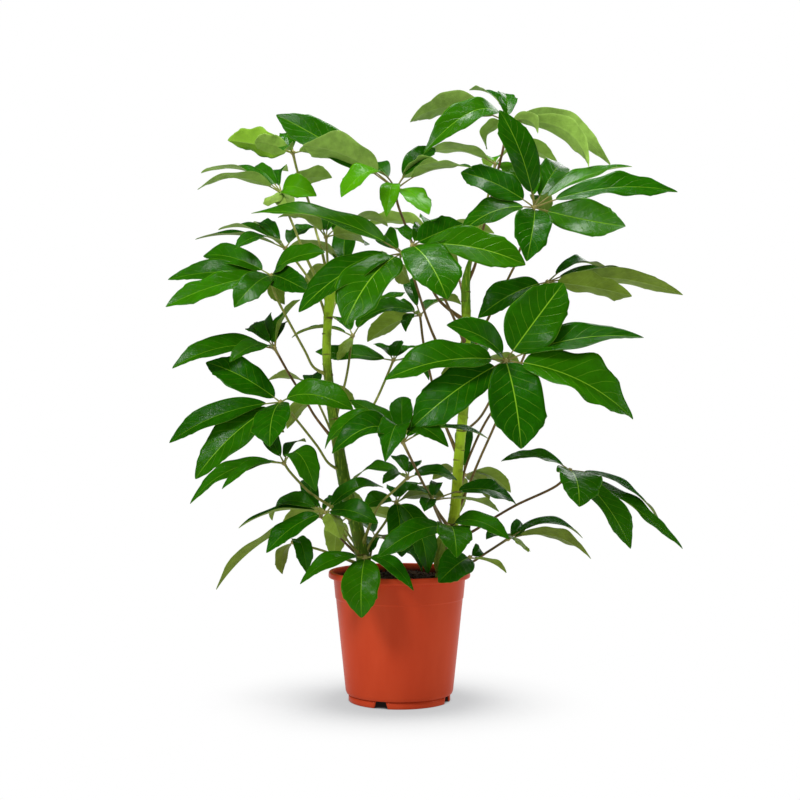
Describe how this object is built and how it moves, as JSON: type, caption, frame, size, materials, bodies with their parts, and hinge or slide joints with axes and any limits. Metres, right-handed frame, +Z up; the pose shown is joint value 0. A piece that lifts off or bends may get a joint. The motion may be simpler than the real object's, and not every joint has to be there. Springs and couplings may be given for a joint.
{
  "type": "potted umbrella plant",
  "caption": "Tall potted umbrella plant: two green trunks with long-stalked fronds of spread, drooping leaflets, in soil in a tapered terracotta-coloured plastic pot.",
  "frame": {"origin": "middle of the plant's footprint, on the surface the pot stands on", "axes": "+Z up, the pictured side looks along -Y"},
  "size_m": [0.874, 0.581, 1.0461],
  "materials": {
    "pot_plastic": "satin terracotta-coloured moulded plastic",
    "potting_soil": "loose dark potting soil",
    "trunk_bark": "green young bark with leaf scars",
    "leaf": "glossy leathery leaf, paler below, on a thin leaf stalk"
  },
  "bodies": {
    "root": {"pot": "pot_plastic", "soil": "potting_soil", "trunk_left": "trunk_bark", "trunk_right": "trunk_bark", "frond_a": "leaf", "frond_b": "leaf", "frond_c": "leaf", "frond_d": "leaf", "frond_e": "leaf", "frond_g": "leaf", "frond_h": "leaf", "frond_i": "leaf", "frond_j": "leaf", "frond_k": "leaf", "frond_l": "leaf", "frond_m": "leaf", "frond_n": "leaf", "frond_o": "leaf", "frond_p": "leaf", "frond_q": "leaf", "frond_r": "leaf", "frond_s": "leaf", "frond_t": "leaf", "frond_u": "leaf", "frond_v": "leaf", "frond_w": "leaf", "frond_x": "leaf", "frond_y": "leaf", "frond_z": "leaf", "frond_aa": "leaf", "frond_ac": "leaf", "frond_ad": "leaf", "frond_ae": "leaf", "frond_af": "leaf", "frond_ag": "leaf", "frond_ba": "leaf", "frond_bb": "leaf", "frond_bc": "leaf", "frond_bd": "leaf", "frond_be": "leaf", "frond_bf": "leaf", "frond_ah": "leaf", "frond_ab": "leaf"}
  },
  "joints": []
}
